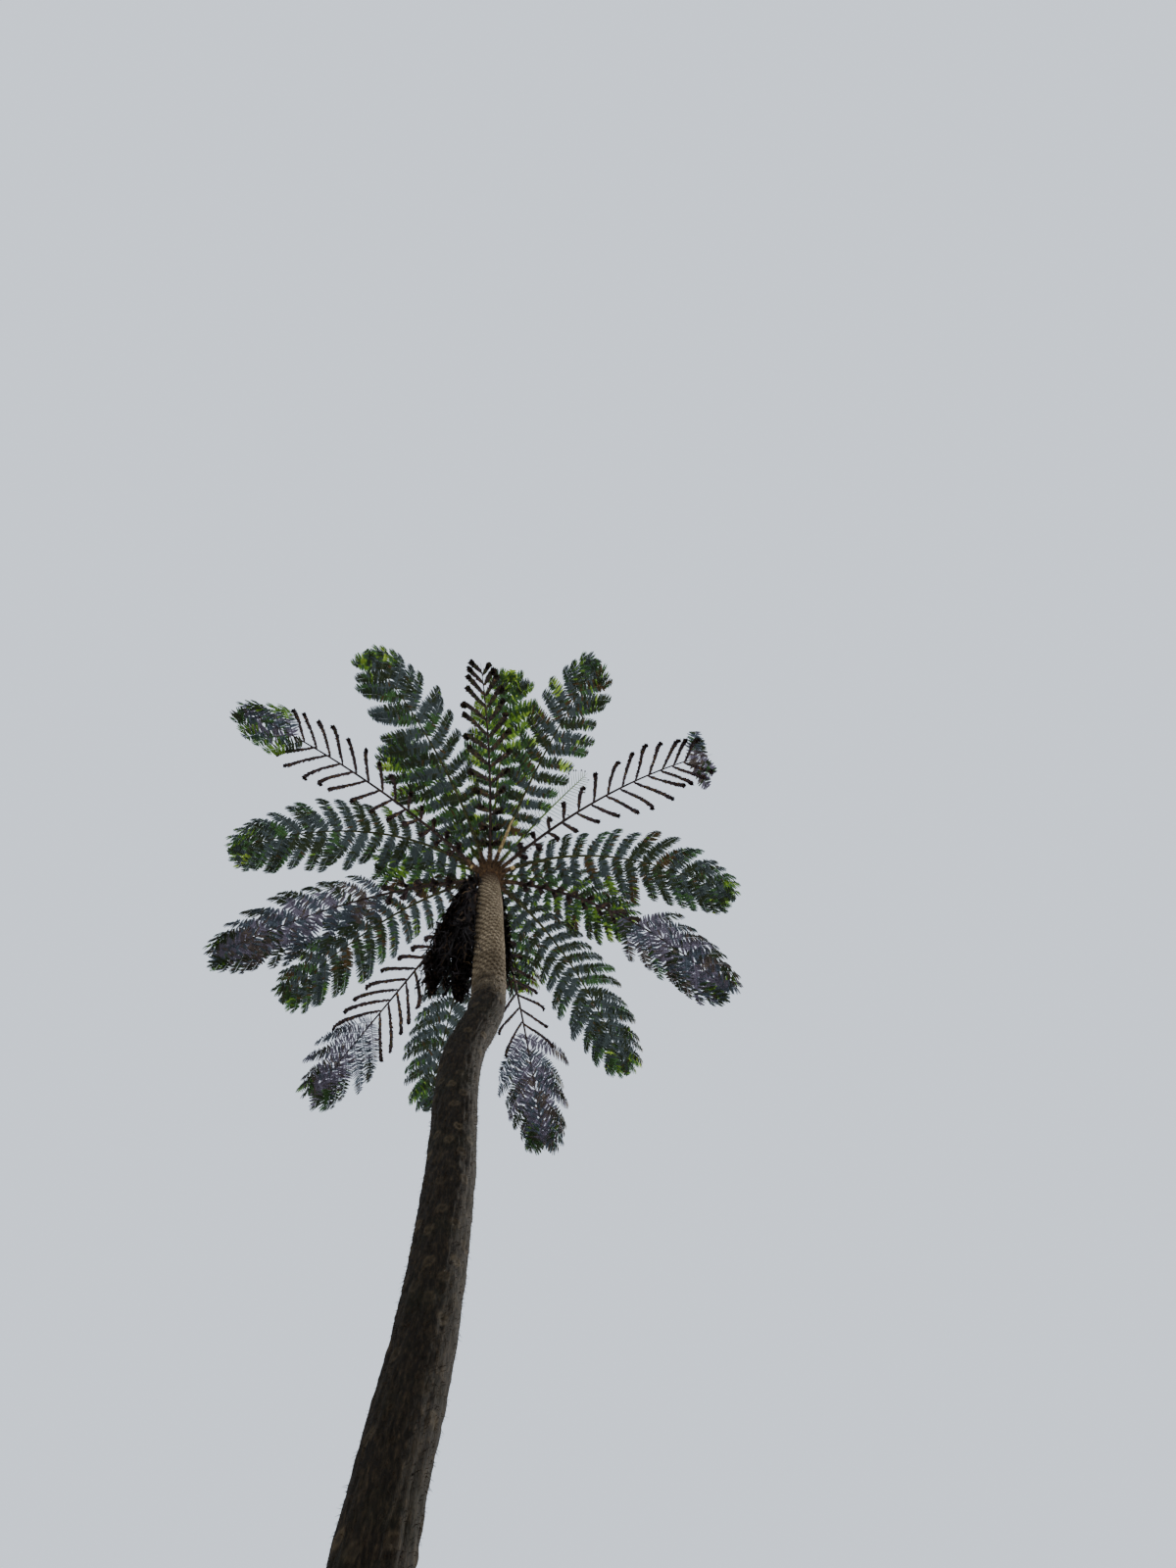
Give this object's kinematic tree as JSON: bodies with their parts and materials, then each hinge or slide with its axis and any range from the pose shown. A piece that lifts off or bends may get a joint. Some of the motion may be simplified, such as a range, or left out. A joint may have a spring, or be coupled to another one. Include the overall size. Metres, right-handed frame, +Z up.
{
  "type": "tree fern",
  "caption": "Tall slender tree fern: a bent, scarred trunk with a crown of arching feathery fronds, some half withered, and dead fronds hanging beside the trunk.",
  "frame": {"origin": "middle of the flat cut under the trunk, at ground level", "axes": "+Z straight up; -Y towards the side that the picture was taken from; +X to the right of that view"},
  "size_m": [4.7458, 4.4564, 13.8739],
  "materials": {
    "bark": "matt, rough with frond scars",
    "head_scales": "matt, hairy scales",
    "stipe": "matt, slightly waxy",
    "living_blade": "soft satin leaf",
    "young_blade": "soft satin leaf",
    "withered_blade": "dry, matt leaf",
    "dead_blade": "dry, matt leaf"
  },
  "bodies": {
    "root": {"trunk": "bark", "crown_head": "head_scales", "broken_stipe_1": "stipe", "broken_stipe_2": "stipe", "living_frond_1": "living_blade", "living_frond_2": "living_blade", "living_frond_3": "living_blade", "living_frond_4": "living_blade", "living_frond_5": "living_blade", "living_frond_6": "living_blade", "living_frond_7": "living_blade", "withered_frond_1": "withered_blade", "withered_frond_2": "withered_blade", "withered_frond_3": "withered_blade", "withered_frond_4": "withered_blade", "withered_frond_5": "withered_blade", "withered_frond_6": "withered_blade", "withered_frond_7": "withered_blade", "young_frond_1": "young_blade", "young_frond_2": "young_blade", "young_frond_3": "young_blade", "young_frond_4": "young_blade", "young_frond_5": "young_blade", "unfurling_frond": "young_blade", "dead_frond_1": "dead_blade", "dead_frond_2": "dead_blade", "dead_frond_3": "dead_blade", "dead_frond_4": "dead_blade"}
  },
  "joints": []
}
